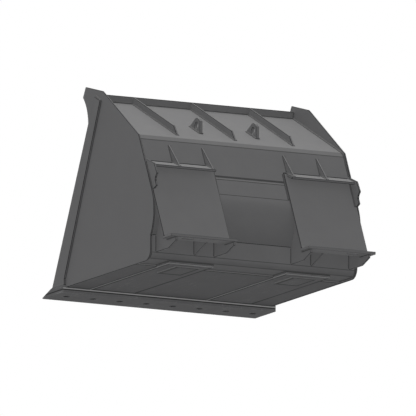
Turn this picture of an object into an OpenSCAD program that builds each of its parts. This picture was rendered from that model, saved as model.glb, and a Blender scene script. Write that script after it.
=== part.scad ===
/* [Shell] */
// Width over the outer faces of the two side plates
bucket_w = 1188; // [1000:4:1900]
// Lean of the back and of the coupler plates from vertical, foot rearward
back_lean = 25; // [22:0.5:28]
// Rise of the top sheet above horizontal
slope_lean = 26; // [20:0.5:32]
// Length of the top sheet from the back corner to the lip
slope_len = 608; // [560:2:680]
// Height of the sharp corner between back and top sheet
corner_h = 662; // [645:1:680]
// Outside radius of the bend in that corner
bend_r = 55; // [40:1:90]
// Height at which the side plates leave their straight heel
heel_h = 125; // [110:1:135]
// Outside radius of the heel bend
heel_r = 28; // [20:1:34]
// Radius of the rolled belly of the side plates
belly_r = 250; // [235:1:265]
// Angle below horizontal at which the belly meets the heel
belly_low = 31; // [28:0.5:34]

/* [Sheets] */
// Thickness of the floor sheet
floor_t = 10; // [8:0.5:14]
// Thickness of the heel plate
heel_t = 8; // [6:0.5:12]
// Thickness of the rolled belly sheet
belly_t = 6; // [5:0.5:10]
// Thickness of the upper back and top sheet
upper_t = 6; // [5:0.5:10]
// Distance from the heel face to the rear edge of the floor sheet
floor_rear = 182; // [160:1:220]
// How far the heel flap laps over the floor sheet
heel_lap = 48; // [30:1:80]
// Height of the seam between the belly sheet and the upper sheet
seam_h = 470; // [440:1:500]
// Length of the joggle in the belly sheet below the upper sheet
joggle_len = 18; // [10:1:24]
// How far the belly sheet laps behind the upper sheet
seam_lap = 40; // [20:1:60]

/* [Top lip] */
// Height of the lip bar above the top sheet
lip_h = 36; // [24:1:50]
// How far the lip bar reaches below the top sheet
lip_under = 24; // [16:1:40]
// Thickness of the lip bar
lip_t = 12; // [8:0.5:20]
// Rearward lean of the lip bar
lip_lean = 16; // [0:1:25]

/* [Side plates] */
// Thickness of the side plates
side_t = 8; // [6:0.5:12]
// How far the side plates stand below the floor sheet
side_drop = 3; // [0:0.5:8]
// Radius of the lower rear corner
side_heel_r = 55; // [36:1:70]
// How far above the back corner the side plate leaves the back
shoulder_rise = 3; // [0:1:30]
// Distance of the crest from the back corner along the top sheet
crest_s = 467.5; // [440:0.5:500]
// Height of the crest above the top sheet
crest_rise = 91.3; // [75:0.1:105]
// How far the ear tip reaches past the end of the top sheet
ear_over = 49.5; // [40:0.5:60]
// Height of the ear tip above the top sheet
ear_rise = 54.3; // [45:0.1:65]
// How far the ear nose reaches past the end of the top sheet
nose_over = 54.1; // [45:0.1:65]
// How far the ear nose lies below the line of the top sheet
nose_under = 4.7; // [0:0.1:15]
// How far below the nose the ear throat runs into the front edge
throat_drop = 142; // [120:1:170]
// How far behind the nose it does so
throat_back = 56.9; // [45:0.1:70]
// Radius of the ear throat
throat_r = 220; // [150:1:300]
// Distance of the foot of the front edge from the cutting tip
foot_back = 70.5; // [60:0.5:80]

/* [Side cutters] */
// How far the cutter stands back from the front edge of the side plate
cutter_set = 20; // [0:0.5:30]
// Width of the cutter at its top
cutter_top_w = 70; // [50:1:90]
// Height of the upright heel at the cutter foot
cutter_heel = 33; // [15:1:60]
// How far the cutter top lies below the ear nose
cutter_drop = 16; // [8:1:40]
// Thickness of the cutter
cutter_t = 10; // [6:0.5:16]

/* [Cutting edge] */
// Distance from the heel face to the cutting tip
edge_reach = 1146; // [1130:1:1170]
// Depth of the two edge plates
edge_w = 225; // [200:1:240]
// How far the edge plates stand out past the side plates
edge_over = 15.6; // [12:0.2:26]
// Depth of the bevel behind the cutting tip
bevel_len = 93; // [85:1:96]
// Thickness of the base edge
base_t = 22; // [16:0.5:26]
// Thickness of the cutting edge below it
edge_t = 16; // [12:0.5:22]
// Thickness left at the tip
tip_t = 5; // [3:0.5:8]
// Number of bolt holes
bolt_n = 8; // [4:1:8]
// Spacing of the bolt holes
bolt_pitch = 152.4; // [120:0.4:156]
// Diameter of the bolt holes
bolt_d = 22; // [14:0.5:26]
// Distance of the bolt holes from the tip
bolt_back = 117; // [110:1:130]

/* [Top gussets and eyes] */
// Spacing of the three top gussets
gusset_pitch = 332; // [260:2:400]
// Height of the top gussets above the sheet
gusset_h = 35; // [24:1:35]
// Distance of the gusset foot from the back corner along the sheet
gusset_start = 64; // [40:1:140]
// Steepness of the gusset foot against the sheet
gusset_foot_a = 29; // [20:1:60]
// Thickness of the top gussets
gusset_t = 10; // [6:0.5:16]
// Spacing of the two lifting eyes
eye_pitch = 324; // [200:2:330]
// Thickness of the lifting eyes
eye_t = 16; // [8:0.5:20]
// Distance of the eye foot from the back corner along the sheet
eye_start = 143; // [120:1:260]
// Length of the eye foot along the sheet
eye_len = 124; // [110:1:160]
// Slanted rear edge of the eye along the sheet
eye_rake = 28; // [10:1:30]
// Height of the eye shoulder above its rear edge
eye_shoulder = 58; // [50:1:60]
// Radius of the rounded head of the eye
eye_r = 35; // [30:1:38]
// Distance of the middle of the head from the eye foot along the sheet
eye_mid = 58; // [52:1:62]
// Height of the middle of the head above the sheet
eye_mid_h = 30; // [28:1:34]
// Angle at which the rounded head begins
eye_head_a = 115; // [105:1:120]
// Diameter of the eye hole
eye_hole_d = 38; // [30:1:42]
// Distance of the hole from the eye foot along the sheet
eye_hole_s = 54; // [50:1:60]
// Height of the hole above the sheet
eye_hole_h = 26; // [25:1:32]

/* [Coupler] */
// Width of each coupler plate
coupler_w = 383; // [366:1:440]
// Length of the coupler plate
coupler_len = 460; // [450:1:470]
// Thickness of the coupler plate
coupler_t = 10; // [8:0.5:14]
// Height of the top of the pin flange, which is the foot of the coupler plate
pin_top = 103.1; // [95:0.1:125]
// Depth of the hook flange
hook_depth = 72; // [50:1:80]
// How far the hook flange ends short of the inner edge of the coupler plate
hook_short = 14; // [0:1:24]
// Thickness of the hook flange
hook_t = 12.7; // [8:0.1:16]
// Fall of the hook flange below horizontal
hook_fall = 22; // [18:0.5:30]
// Depth of the pin flange
pin_depth = 80; // [70:1:100]
// Thickness of the pin flange
pin_t = 14; // [10:0.5:18]
// Length of the lock pin slot
slot_l = 64; // [50:1:80]
// Width of the lock pin slot
slot_w = 38; // [30:1:44]
// Distance of the slot centre from the outside of the bucket
slot_in = 121; // [100:1:150]
// Distance of the slot centre from the rear edge of the pin flange
slot_back = 36; // [32:1:44]
// Thickness of the guide ears
guide_t = 10; // [8:0.5:14]
// How far the guide ears stand above the coupler plate
guide_above = 4; // [0:1:10]
// Width of the guide ears at their top
guide_top = 7; // [4:1:20]
// Length of the guiding slope of the ears
guide_slope = 57; // [45:1:70]
// How far the ears stand out at the end of that slope
guide_shoulder = 65; // [50:1:70]
// Distance from the hook to the lower end of the lobe
guide_lobe = 124; // [110:1:130]
// How far the lobe stands out
guide_out = 71; // [60:1:80]
// Distance from the hook to the lower step
guide_step_at = 146; // [140:1:155]
// How far the lower step stands out
guide_step = 39; // [20:1:44]
// Run of the corner between lobe and step
guide_corner = 9; // [4:1:14]
// Distance from the hook to the lower end of the ears
guide_len = 178; // [165:1:190]
// Chamfer at the lower end of the ears
guide_foot = 5; // [0:1:8]
// Width of that lower end
guide_end = 14; // [8:1:30]
// Thickness of the coupler gussets
rib_t = 10; // [8:0.5:14]
// How far below the back corner the hook gussets leave the back
hook_rib_drop = 38; // [32:1:60]
// How far the hook gussets end short of the hook flange's edge
hook_rib_short = 6; // [2:1:20]
// Distance of the outer hook gussets from the outside of the bucket
hook_rib_outer = 166; // [30:1:300]
// Distance of the inner hook gussets from the inner edge of the coupler plate
hook_rib_inner = 34; // [16:1:60]
// Distance of the outer pin gussets from the outside of the bucket
pin_rib_outer = 36; // [20:1:70]
// Distance of the middle pin gussets from the inner edge of the coupler plate
pin_rib_middle = 137; // [60:1:180]
// Distance of the inner pin gussets from the inner edge of the coupler plate
pin_rib_inner = 23; // [12:1:50]
// Height of the pin gussets' foot on the heel plate
pin_rib_h = 42; // [42:1:60]
// Level run of the outer pin gussets behind the heel
pin_rib_run = 128; // [100:1:140]
// How far the outer pin gussets end short of the pin flange's edge
pin_rib_short = 4; // [0:1:10]
// Depth of those gussets under that edge
pin_rib_end = 19; // [10:1:30]
// How far the middle pin gusset ends behind the coupler plate's front
pin_rib_back = 8; // [0:1:20]
// How far below the tangent of the belly the pin gussets begin
pin_rib_drop = 45; // [40:1:70]

/* [Wear parts] */
// Width of the wear plates
wear_w = 256; // [180:2:320]
// Distance of the wear plates from the outside of the bucket
wear_in = 132; // [100:2:160]
// Distance of the wear plate rear end from the heel face
wear_rear = 50; // [40:1:90]
// Gap between the wear plates and the edge plates
wear_gap = 12; // [6:1:30]
// Thickness of the wear plates
wear_t = 6; // [5:0.5:12]
// Width of the heel wear pads
pad_w = 133; // [90:1:170]
// Length of the heel wear pads
pad_len = 205; // [120:1:300]
// Distance of the pad rear end from the rear end of the wear plate
pad_rear = 38; // [10:1:60]
// Thickness of the heel wear pads
pad_t = 8; // [6:0.5:16]

/* [Hidden] */
$fn = 96;
paint = [0.34, 0.34, 0.345];
worn = [0.28, 0.28, 0.285];

// Overlap by which pieces of one outline are joined and cuts run past a face
fuse = 1;
// How far an arc bites into the straight face that it runs into
bite = 0.01;
// Angle by which the sector of an arc is carried past its end
pie_over = 5;

// Outlines are drawn as [f, z]: f runs forward from the heel face, z up from the side plate foot
up_back = [sin(back_lean), cos(back_lean)];
out_back = [-cos(back_lean), sin(back_lean)];
up_slope = [cos(slope_lean), sin(slope_lean)];
out_slope = [-sin(slope_lean), cos(slope_lean)];
floor_z = side_drop;
flap_z = floor_z + floor_t;
inside_w = bucket_w - 2 * side_t;
edge_len = bucket_w + 2 * edge_over;

// Belly circle of the side plates, its tangent point, and their straight rear edge above it
belly_c = [belly_r * cos(belly_low), heel_h + belly_r * sin(belly_low)];
belly_top = belly_c + belly_r * out_back;
function on_back(z) = [belly_top[0] + (z - belly_top[1]) * tan(back_lean), z];

// The sheets lie one coupler plate inside that edge, so the coupler plates end flush with it
inset = coupler_t;
sheet_r = belly_r - inset;
sheet_top = belly_c + sheet_r * out_back;
heel_f = round(100 * inset * cos(belly_low)) / 100;
heel_top = heel_h + (heel_f - belly_c[0]) * tan(belly_low) + belly_r * sin(belly_low);
function on_sheet(z) = on_back(z) + [inset / cos(back_lean), 0];

// Seam and corner of the upper sheet
seam = on_sheet(seam_h);
corner = on_sheet(corner_h);
bend_run = bend_r * tan((90 - back_lean - slope_lean) / 2);
bend_low = corner - bend_run * up_back;
bend_high = corner + bend_run * up_slope;
bend_c = bend_low - bend_r * out_back;
function on_slope(s, h) = corner + s * up_slope + h * out_slope;
slope_end = on_slope(slope_len, 0);
shoulder = on_back(corner_h + shoulder_rise);
crest = on_slope(crest_s, crest_rise);
ear_tip = on_slope(slope_len + ear_over, ear_rise);
nose = on_slope(slope_len + nose_over, -nose_under);
lip_up = [-sin(lip_lean), cos(lip_lean)];
lip_out = [cos(lip_lean), sin(lip_lean)];

// Edge plates: the base edge is flush with the floor, the bevel runs over both
edge_rear = edge_reach - edge_w;
bevel_start = edge_reach - bevel_len;
edge_mid = flap_z - base_t;
edge_low = edge_mid - edge_t;
bevel_drop = (base_t + edge_t - tip_t) / (edge_reach - bevel_start);
bevel_mid = bevel_start + base_t / bevel_drop;

// Front edge of the side plates from the ear's throat down to its foot on the bevel
side_foot = edge_reach - foot_back;
throat_low = nose - [throat_back, throat_drop];
front_lean = atan((side_foot - throat_low[0]) / (throat_low[1] - flap_z));
front_out = [cos(front_lean), sin(front_lean)];
function side_edge(z) = [side_foot - (z - flap_z) * tan(front_lean), z];
function cutter_edge(z) = side_edge(z) - [cutter_set / cos(front_lean), 0];
toe_lean = bevel_drop * tan(front_lean);
toe_f = (side_foot - bevel_start * toe_lean) / (1 - toe_lean);
side_toe = [toe_f, flap_z - (toe_f - bevel_start) * bevel_drop];
throat_half = (nose - throat_low) / 2;
throat_sag = sqrt(throat_r * throat_r - throat_half * throat_half);
throat_fwd = [throat_half[1], -throat_half[0]] / norm(throat_half);
throat_c = throat_low + throat_half + throat_sag * throat_fwd;
throat_dip = 30;
function turn(p) = atan2(p[1], p[0]);

// Coupler: the plate lies on the sheet, its foot is cut level on the pin flange
hook_h = pin_top + coupler_len * cos(back_lean);
hook_root = on_back(hook_h);
hook_dir = [-cos(hook_fall), -sin(hook_fall)];
hook_under = [sin(hook_fall), -cos(hook_fall)];
hook_trim = -hook_t * (hook_under * out_back) / (hook_dir * out_back);
pin_low = pin_top - pin_t;
pin_front = on_sheet(pin_top)[0];
pin_rear = on_back(pin_top)[0] - pin_depth;
function on_plate(s, h) = hook_root - s * up_back + h * out_back;
coupler_in = side_t + coupler_w;
hook_rib_in = [hook_rib_outer, coupler_in - hook_rib_inner];
pin_rib_in = [pin_rib_outer, coupler_in - pin_rib_middle, coupler_in - pin_rib_inner];

// The origin is the middle of the outline's foot
stand = max(-edge_low, wear_t + pad_t - floor_z);
mid_f = (edge_reach + pin_rear) / 2;

// Carries an outline drawn as [f, z] to its place, w thick from x0 towards +X
module slab(x0, w) {
    translate([x0, mid_f, stand])
        mirror([0, 1, 0])
            rotate([90, 0, 90])
                linear_extrude(height = w)
                    children();
}

// The same, measured inward from the outside of the bucket; side 1 is left, -1 is right
module inward(side, x_in, w) {
    if (side > 0)
        slab(bucket_w / 2 - x_in - w, w) children();
    else
        slab(x_in - bucket_w / 2, w) children();
}

// Slice of a disc about c between two angles
module pie(c, r, a0, a1) {
    mid = (a0 + a1) / 2;
    translate(c)
        intersection() {
            circle(r = r);
            polygon([[0, 0],
                     2 * r * [cos(a0), sin(a0)],
                     2 * r * [cos(mid), sin(mid)],
                     2 * r * [cos(a1), sin(a1)]]);
        }
}

// Bar from p to q, t thick along n
module run(p, q, n, t) {
    polygon([p, q, q + t * n, p + t * n]);
}

// The tongues back the wear plates under the heel flap
module floor_sheet() {
    color(paint) {
        slab(-inside_w / 2, inside_w)
            translate([floor_rear, floor_z])
                square([edge_rear - floor_rear, floor_t]);
        for (side = [1, -1])
            inward(side, wear_in, wear_w)
                translate([wear_rear, floor_z])
                    square([floor_rear - wear_rear + fuse, floor_t]);
    }
}

module heel_plate() {
    c = [heel_f + heel_r, flap_z + heel_r];
    mitre = [heel_f + heel_t, heel_top + heel_t * tan(belly_low)];
    flap_end = floor_rear + heel_lap;
    color(paint)
        slab(-inside_w / 2, inside_w)
            difference() {
                union() {
                    polygon([[heel_f, heel_top], [heel_f, c[1]], [c[0], flap_z],
                             [flap_end, flap_z], [flap_end, flap_z + heel_t], mitre]);
                    pie(c, heel_r, 180, 270);
                }
                polygon([mitre, [heel_f + heel_t, c[1]], [c[0], flap_z + heel_t],
                         [flap_end, flap_z + heel_t], [flap_end, heel_top + heel_r]]);
                pie(c, heel_r - heel_t, 180, 270);
            }
}

// A bent sheet is its outer outline less its inner outline, straight parts and bends apart
module sheet(outer, inner) {
    difference() {
        union() {
            slab(-inside_w / 2, inside_w) polygon(outer);
            slab(-inside_w / 2, inside_w) children(0);
        }
        slab(-inside_w / 2 - fuse, inside_w + 2 * fuse) polygon(inner);
        slab(-inside_w / 2 - fuse, inside_w + 2 * fuse) children(1);
    }
}

module lower_back_sheet() {
    in = -belly_t * out_back;
    joggle_low = seam - joggle_len * up_back;
    joggle_high = seam - upper_t * out_back;
    lap_end = joggle_high + seam_lap * up_back;
    far = belly_c + [belly_r / 2, 0];
    color(paint)
        sheet([far, sheet_top, joggle_low, joggle_high, lap_end, lap_end + 2 * in],
              [far - [fuse, fuse], sheet_top + in, joggle_low + in, joggle_high + in,
               lap_end + in + fuse * up_back, far + [belly_r, 0]]) {
            pie(belly_c, sheet_r + bite, 180 - back_lean - pie_over, 180 + belly_low);
            pie(belly_c, sheet_r - belly_t + bite, 180 - back_lean - pie_over,
                180 + belly_low + pie_over);
        }
}

module upper_back_sheet() {
    in = -upper_t * out_back;
    start_in = seam + in - upper_t * up_back;
    end_in = on_slope(slope_len + upper_t, -upper_t);
    color(paint)
        sheet([seam, bend_low, bend_high, slope_end, slope_end - 2 * upper_t * lip_up,
               seam + 2 * in],
              [start_in, bend_low + in, bend_high - upper_t * out_slope, end_in,
               [end_in[0], start_in[1]]]) {
            pie(bend_c, bend_r + bite, 90 + slope_lean - pie_over, 180 - back_lean + pie_over);
            pie(bend_c, bend_r - upper_t + bite, 90 + slope_lean - pie_over,
                180 - back_lean + pie_over);
        }
}

module top_lip_bar() {
    color(paint)
        slab(-inside_w / 2, inside_w)
            run(slope_end - lip_under * lip_up, slope_end + lip_h * lip_up, lip_out, lip_t);
}

// Three outlines: the plate under the ear, its rounded corners, and the ear above its throat
module side_plate(side) {
    under = throat_low[1] - throat_dip;
    color(paint) {
        inward(side, 0, side_t)
            polygon([[side_heel_r, 0], [edge_rear, 0], [edge_rear, flap_z],
                     [bevel_start, flap_z], side_toe, side_edge(throat_low[1] + throat_dip),
                     crest - [0, throat_dip], shoulder, belly_top,
                     [0, belly_c[1]], [0, side_heel_r]]);
        inward(side, 0, side_t)
            pie([side_heel_r, side_heel_r], side_heel_r, 180, 270);
        inward(side, 0, side_t)
            pie(belly_c, belly_r + bite, 180 - back_lean - pie_over, 180 + belly_low + pie_over);
        difference() {
            inward(side, 0, side_t)
                polygon([shoulder, crest, ear_tip, nose + (nose - ear_tip) / 2,
                         [nose[0], under], [crest[0], under]]);
            inward(side, -fuse, side_t + 2 * fuse)
                translate(throat_c) circle(r = throat_r);
        }
    }
}

module side_cutter(side) {
    top = cutter_edge(nose[1] - cutter_drop);
    color(paint)
        inward(side, -cutter_t, cutter_t)
            polygon([cutter_edge(flap_z), top, top - cutter_top_w * front_out,
                     [edge_rear, flap_z + cutter_heel], [edge_rear, flap_z]]);
}

// Edge plate with the row of bolt holes
module edge_plate() {
    hole_y = mid_f - (edge_reach - bolt_back);
    difference() {
        slab(-edge_len / 2, edge_len) children();
        for (i = [0 : bolt_n - 1])
            translate([(i - (bolt_n - 1) / 2) * bolt_pitch, hole_y, -fuse])
                cylinder(d = bolt_d, h = stand + flap_z + 2 * fuse);
    }
}

module base_edge() {
    color(paint)
        edge_plate()
            polygon([[edge_rear, flap_z], [bevel_start, flap_z], [bevel_mid, edge_mid],
                     [edge_rear, edge_mid]]);
}

module cutting_edge() {
    color(worn)
        edge_plate()
            polygon([[edge_rear, edge_mid], [bevel_mid, edge_mid],
                     [edge_reach, edge_low + tip_t], [edge_reach, edge_low],
                     [edge_rear, edge_low]]);
}

module top_gusset(place) {
    foot = gusset_h / tan(gusset_foot_a);
    lip_back = gusset_h * tan(lip_lean - slope_lean);
    color(paint)
        slab(place * gusset_pitch - gusset_t / 2, gusset_t)
            polygon([on_slope(gusset_start, 0), on_slope(gusset_start + foot, gusset_h),
                     on_slope(slope_len - lip_back, gusset_h), slope_end]);
}

// The head is an arc that runs tangent into the slanted front
module lifting_eye(side) {
    c = [eye_mid, eye_mid_h];
    to_foot = [eye_len, 0] - c;
    front_a = turn(to_foot) + acos(eye_r / norm(to_foot));
    head_in = c + (eye_r - fuse) * [cos(eye_head_a), sin(eye_head_a)];
    x0 = side * eye_pitch / 2 - eye_t / 2;
    color(paint)
        difference() {
            union() {
                on_eye(x0, eye_t)
                    polygon([[0, 0], [eye_rake, eye_shoulder], head_in,
                             c + eye_r * [cos(front_a), sin(front_a)], [eye_len, 0]]);
                on_eye(x0, eye_t)
                    pie(c, eye_r + bite, front_a - pie_over, eye_head_a + 5 * pie_over);
            }
            on_eye(x0 - fuse, eye_t + 2 * fuse)
                translate([eye_hole_s, eye_hole_h])
                    circle(d = eye_hole_d);
        }
}

// An outline drawn on the top sheet from the foot of the eye
module on_eye(x0, w) {
    slab(x0, w)
        translate(on_slope(eye_start, 0))
            rotate(slope_lean)
                children();
}

module coupler_plate(side) {
    color(paint)
        inward(side, side_t, coupler_w)
            polygon([hook_root - coupler_t * out_back, [pin_front, pin_top], on_back(pin_top),
                     hook_root]);
}

module hook_flange(side) {
    x_in = side_t + guide_t;
    edge = hook_root + hook_depth * hook_dir;
    color(paint)
        inward(side, x_in, coupler_in - hook_short - x_in)
            polygon([hook_root, edge, edge + hook_t * hook_under,
                     hook_root + hook_t * hook_under + hook_trim * hook_dir]);
}

module pin_flange(side) {
    slot_x = side * (bucket_w / 2 - slot_in);
    slot_y = mid_f - (pin_rear + slot_back);
    color(paint)
        difference() {
            inward(side, side_t, coupler_w)
                translate([pin_rear, pin_low])
                    square([pin_front - pin_rear, pin_t]);
            translate([slot_x, slot_y, stand + pin_low - fuse]) {
                for (end = [1, -1])
                    translate([end * (slot_l - slot_w) / 2, 0, 0])
                        cylinder(d = slot_w, h = pin_t + 2 * fuse);
                translate([-(slot_l - slot_w) / 2, -slot_w / 2, 0])
                    cube([slot_l - slot_w, slot_w, pin_t + 2 * fuse]);
            }
        }
}

module guide_ear(side) {
    color(paint)
        inward(side, side_t, guide_t)
            polygon([on_plate(-guide_above, 0), on_plate(-guide_above, guide_top),
                     on_plate(guide_slope, guide_shoulder), on_plate(guide_lobe, guide_out),
                     on_plate(guide_lobe + guide_corner, guide_step + guide_corner),
                     on_plate(guide_step_at, guide_step), on_plate(guide_len, guide_step),
                     on_plate(guide_len, guide_end), on_plate(guide_len - guide_foot, 0)]);
}

module hook_gusset(side, i) {
    color(paint)
        inward(side, hook_rib_in[i], rib_t)
            polygon([on_sheet(corner_h - hook_rib_drop), hook_root - coupler_t * out_back, hook_root,
                     hook_root + (hook_depth - hook_rib_short) * hook_dir]);
}

// The outer and inner gussets also carry the pin flange from below
module pin_gusset(side, i) {
    top = on_sheet(sheet_top[1] - pin_rib_drop);
    end_f = pin_rear + pin_rib_short;
    foot = i == 1
        ? [[heel_f, pin_rib_h], [pin_front - pin_rib_back, pin_low]]
        : [[heel_f, pin_rib_h], [-pin_rib_run, pin_rib_h], [end_f, pin_low - pin_rib_end],
           [end_f, pin_low]];
    color(paint)
        inward(side, pin_rib_in[i], rib_t)
            difference() {
                polygon(concat(foot, [[pin_front, pin_low], [pin_front, pin_top], top,
                                      [heel_f, top[1]]]));
                translate(belly_c) circle(r = sheet_r);
            }
}

module wear_plate(side) {
    color(worn)
        inward(side, wear_in, wear_w)
            translate([wear_rear, floor_z - wear_t])
                square([edge_rear - wear_gap - wear_rear, wear_t]);
}

module heel_pad(side) {
    color(worn)
        inward(side, wear_in + (wear_w - pad_w) / 2, pad_w)
            translate([wear_rear + pad_rear, floor_z - wear_t - pad_t])
                square([pad_len, pad_t]);
}

floor_sheet();
heel_plate();
lower_back_sheet();
upper_back_sheet();
top_lip_bar();
side_plate(1);  // side_plate_left
side_plate(-1);  // side_plate_right
side_cutter(1);  // side_cutter_left
side_cutter(-1);  // side_cutter_right
base_edge();
cutting_edge();
top_gusset(1);  // top_gusset_left
top_gusset(0);  // top_gusset_centre
top_gusset(-1);  // top_gusset_right
lifting_eye(1);  // lifting_eye_left
lifting_eye(-1);  // lifting_eye_right
coupler_plate(1);  // coupler_plate_left
coupler_plate(-1);  // coupler_plate_right
hook_flange(1);  // hook_flange_left
hook_flange(-1);  // hook_flange_right
pin_flange(1);  // pin_flange_left
pin_flange(-1);  // pin_flange_right
guide_ear(1);  // guide_ear_left
guide_ear(-1);  // guide_ear_right
hook_gusset(1, 0);  // hook_gusset_outer_left
hook_gusset(1, 1);  // hook_gusset_inner_left
hook_gusset(-1, 0);  // hook_gusset_outer_right
hook_gusset(-1, 1);  // hook_gusset_inner_right
pin_gusset(1, 0);  // pin_gusset_outer_left
pin_gusset(1, 1);  // pin_gusset_middle_left
pin_gusset(1, 2);  // pin_gusset_inner_left
pin_gusset(-1, 0);  // pin_gusset_outer_right
pin_gusset(-1, 1);  // pin_gusset_middle_right
pin_gusset(-1, 2);  // pin_gusset_inner_right
wear_plate(1);  // wear_plate_left
wear_plate(-1);  // wear_plate_right
heel_pad(1);  // heel_pad_left
heel_pad(-1);  // heel_pad_right
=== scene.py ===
# %% [markdown]
# # A welded loader bucket for light material
# The bucket is a box of steel sheet: a floor, a rolled belly, a leaning back and a sloping
# top sheet between two side plates. Behind it sit the two plates that a loader's coupler
# grips. All solid pieces come from the CAD model, at their true size, and stay as they are.
# This file adds what drawings leave out: broken plate edges, weld beads, paint and wear.

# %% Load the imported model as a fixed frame
import math
import bpy
import bmesh
import numpy as np
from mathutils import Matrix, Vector


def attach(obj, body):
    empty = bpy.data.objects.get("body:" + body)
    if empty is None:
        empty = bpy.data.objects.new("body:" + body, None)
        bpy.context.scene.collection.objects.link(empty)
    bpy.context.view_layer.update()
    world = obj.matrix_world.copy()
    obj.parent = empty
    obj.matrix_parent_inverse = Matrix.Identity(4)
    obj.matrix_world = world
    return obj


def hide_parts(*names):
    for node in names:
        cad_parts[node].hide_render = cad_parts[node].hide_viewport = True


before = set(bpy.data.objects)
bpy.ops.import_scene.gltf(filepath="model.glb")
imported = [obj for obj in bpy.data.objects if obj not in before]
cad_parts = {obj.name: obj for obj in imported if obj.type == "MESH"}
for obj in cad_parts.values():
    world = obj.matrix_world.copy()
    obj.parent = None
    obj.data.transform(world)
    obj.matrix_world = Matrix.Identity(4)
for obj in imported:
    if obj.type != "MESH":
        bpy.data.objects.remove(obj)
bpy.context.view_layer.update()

# %% [markdown]
# ## The photograph's camera
# The picture shows the bucket from behind and a little below, and its parallel edges stay
# parallel, so it has no perspective at all. A long lens far away would come close. An
# orthographic camera matches it exactly, and the view direction was solved from three sets
# of parallel edges. The picture is 416 pixels wide, and the render lies on it best when one
# pixel covers 5.073 mm.

# %% Camera
PIXELS_ACROSS, METRES_PER_PIXEL = 416, 0.005073
AIM = Vector((-0.0010, -0.0360, 0.4180))
BACK_OFF = Vector((0.459, 0.871, -0.175)) * 6.0
eye = bpy.data.objects.new("photo_camera", bpy.data.cameras.new("photo_camera"))
bpy.context.scene.collection.objects.link(eye)
eye.data.type = "ORTHO"
eye.data.ortho_scale = PIXELS_ACROSS * METRES_PER_PIXEL
eye.data.clip_end = 100.0
eye.location = AIM + BACK_OFF
eye.rotation_euler = (-BACK_OFF).to_track_quat("-Z", "Y").to_euler()
bpy.context.scene.camera = eye
bpy.context.scene.view_settings.view_transform = "Standard"
print("camera stands at", [round(v, 2) for v in eye.location])

# %% [markdown]
# ## World and lamps
# The picture is lit very evenly: corners are hardly darker than open faces, and the tone of a
# face depends only on where it looks. A grey world alone would darken the corners too much.
# So the world is weak, and broad lamps that cast no shadow fill in from above, from both
# sides, from behind and from below. Only the main lamp over the mouth casts one. Rays that
# go straight to the camera, or that mirror or glass send on, find a white world, so the
# background is white with no more light on the steel.

# %% World
WEAK_GREY, WHITE = (0.20, 0.20, 0.202, 1.0), (1.0, 1.0, 1.0, 1.0)
world = bpy.data.worlds.new("pale_studio")
bpy.context.scene.world = world
world.use_nodes = True
tree = world.node_tree
tree.nodes.clear()
path = tree.nodes.new("ShaderNodeLightPath")
seen = tree.nodes.new("ShaderNodeMath")
seen.operation = "MAXIMUM"
seen_too = tree.nodes.new("ShaderNodeMath")
seen_too.operation = "MAXIMUM"
shade = tree.nodes.new("ShaderNodeMix")
shade.data_type = "RGBA"
shade.inputs["A"].default_value = WEAK_GREY
shade.inputs["B"].default_value = WHITE
glow = tree.nodes.new("ShaderNodeBackground")
out = tree.nodes.new("ShaderNodeOutputWorld")
tree.links.new(path.outputs["Is Camera Ray"], seen.inputs[0])
tree.links.new(path.outputs["Is Transmission Ray"], seen.inputs[1])
tree.links.new(seen.outputs[0], seen_too.inputs[0])
tree.links.new(path.outputs["Is Glossy Ray"], seen_too.inputs[1])
tree.links.new(seen_too.outputs[0], shade.inputs["Factor"])
tree.links.new(shade.outputs["Result"], glow.inputs["Color"])
tree.links.new(glow.outputs["Background"], out.inputs["Surface"])
print("world:", world.name)


# %% Lamps
def broad_lamp(name, towards, strength, spread, shadow=False):
    """A sun whose light comes from one direction, blurred over a cone of spread degrees."""
    lamp = bpy.data.lights.new(name, "SUN")
    lamp.use_shadow = shadow
    lamp.energy = strength
    lamp.angle = math.radians(spread)
    holder = bpy.data.objects.new(name, lamp)
    holder.rotation_euler = Vector(towards).to_track_quat("Z", "Y").to_euler()
    bpy.context.scene.collection.objects.link(holder)


ABOVE_MOUTH = (0.05, -0.28, 0.96)
broad_lamp("lamp_over_mouth", ABOVE_MOUTH, 0.7, 30.0, shadow=True)
broad_lamp("lamp_over_top", ABOVE_MOUTH, 2.4, 30.0)
broad_lamp("lamp_beside", (0.80, 0.50, 0.22), 1.16, 40.0)
broad_lamp("lamp_behind", (0.25, 1.0, 0.05), 0.93, 40.0)
broad_lamp("lamp_below", (0.05, -0.45, -0.90), 0.70, 40.0)
broad_lamp("lamp_other_side", (-0.90, -0.30, 0.05), 0.9, 40.0)
print("lamps:", sorted(lamp.name for lamp in bpy.data.lights))

# %% [markdown]
# ## Floor
# The photograph looks slightly upwards at the bucket and shows no floor. A floor that is
# drawn only when it is seen from above gives that view, and still catches the bucket's
# shadow for anyone who looks down. Light from below passes it, as in the photograph.

# %% Floor plane with a one-sided material
FLOOR_GREY = (0.77, 0.77, 0.77, 1.0)
FLOOR_Z, FLOOR_REACH = -0.001, 40.0
floor_mat = bpy.data.materials.new("studio_floor")
floor_mat.use_nodes = True
tree = floor_mat.node_tree
tree.nodes.clear()
path = tree.nodes.new("ShaderNodeLightPath")
side = tree.nodes.new("ShaderNodeNewGeometry")
above = tree.nodes.new("ShaderNodeMath")
above.operation = "SUBTRACT"
above.inputs[0].default_value = 1.0
drawn = tree.nodes.new("ShaderNodeMath")
drawn.operation = "MULTIPLY"
clear = tree.nodes.new("ShaderNodeBsdfTransparent")
pale = tree.nodes.new("ShaderNodeBsdfDiffuse")
pale.inputs["Color"].default_value = FLOOR_GREY
pick = tree.nodes.new("ShaderNodeMixShader")
out = tree.nodes.new("ShaderNodeOutputMaterial")
tree.links.new(side.outputs["Backfacing"], above.inputs[1])
tree.links.new(above.outputs[0], drawn.inputs[0])
tree.links.new(path.outputs["Is Camera Ray"], drawn.inputs[1])
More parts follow.
